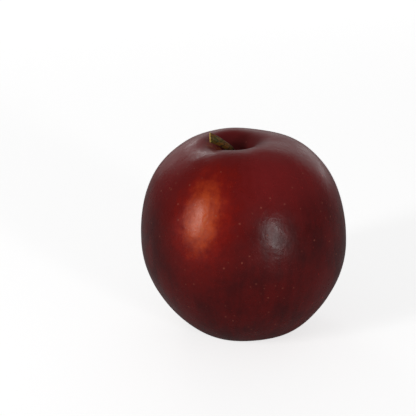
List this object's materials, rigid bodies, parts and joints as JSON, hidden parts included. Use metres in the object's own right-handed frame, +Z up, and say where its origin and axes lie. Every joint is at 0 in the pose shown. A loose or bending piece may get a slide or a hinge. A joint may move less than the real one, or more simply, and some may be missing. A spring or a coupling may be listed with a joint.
{
  "type": "apple",
  "caption": "Whole dark red apple standing on its calyx end, with a short bent stalk in its hollow and dried sepals underneath.",
  "frame": {"origin": "middle of the apple's width and depth, on the surface that it rests on", "axes": "+Z up along the core towards the stalk, -Y towards the front, where the pale patch is, +X to the right seen from the front"},
  "size_m": [0.075, 0.0738, 0.0743],
  "materials": {
    "skin": "waxy, dark red fruit skin",
    "stalk": "green-brown bark, tan where it was picked",
    "sepal": "dry leaf",
    "stamen": "dry thread"
  },
  "bodies": {
    "root": {"fruit": "skin", "stalk": "stalk", "sepal_1": "sepal", "sepal_2": "sepal", "sepal_3": "sepal", "sepal_4": "sepal", "sepal_5": "sepal", "stamens": "stamen"}
  },
  "joints": []
}
